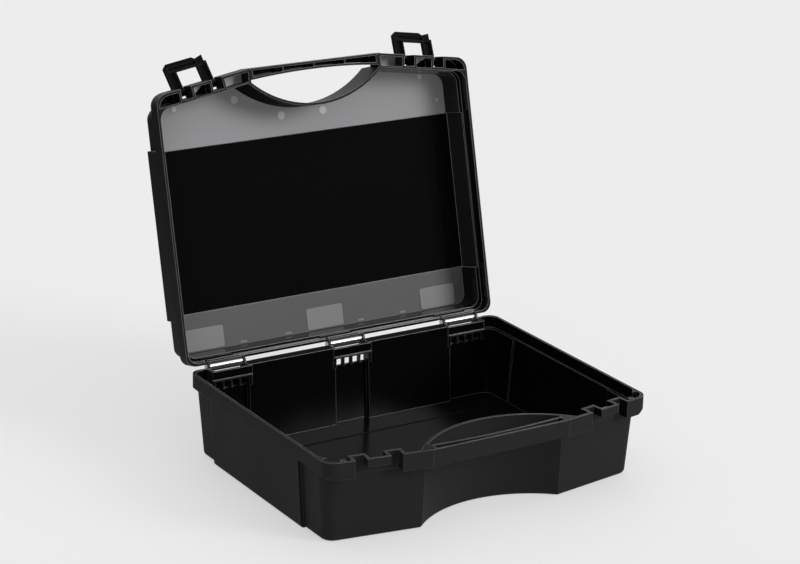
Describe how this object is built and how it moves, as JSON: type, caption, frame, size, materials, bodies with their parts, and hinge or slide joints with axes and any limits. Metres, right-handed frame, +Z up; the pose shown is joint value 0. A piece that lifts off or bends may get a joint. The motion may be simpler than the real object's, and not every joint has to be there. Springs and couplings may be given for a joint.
{
  "type": "hard tool case",
  "caption": "Hard moulded tool case, shown open, with a hinged lid, a handle split between lid and base, and frame latches on the lid.",
  "frame": {"origin": "centre of the base's flat underside, where the case stands", "axes": "+Z up, +Y from the handle to the hinges, +X to the right of someone facing the handle"},
  "size_m": [0.34, 0.368, 0.353],
  "materials": {
    "shell": "satin moulded",
    "latch": "satin moulded",
    "rod": "bright zinc plated"
  },
  "bodies": {
    "base": {"base_shell": "shell", "hinge_rod_left": "rod", "hinge_rod_middle": "rod", "hinge_rod_right": "rod"},
    "lid": {"lid_shell": "shell"},
    "latch_left": {"latch_left": "latch"},
    "latch_right": {"latch_right": "latch"}
  },
  "joints": [
    {"name": "lid_hinge", "type": "hinge", "parent": "base", "child": "lid", "pos_m": [0, 0.1361, 0.0797], "axis": [1, 0, 0], "range_deg": [0, 104]},
    {"name": "latch_left_pivot", "type": "hinge", "parent": "lid", "child": "latch_left", "pos_m": [-0.1216, 0.21106, 0.32578], "axis": [0.9889, 0.0359, 0.1439], "range_deg": [0, 111]},
    {"name": "latch_right_pivot", "type": "hinge", "parent": "lid", "child": "latch_right", "pos_m": [0.1216, 0.21106, 0.32578], "axis": [0.9889, -0.0359, -0.1439], "range_deg": [0, 111]}
  ]
}
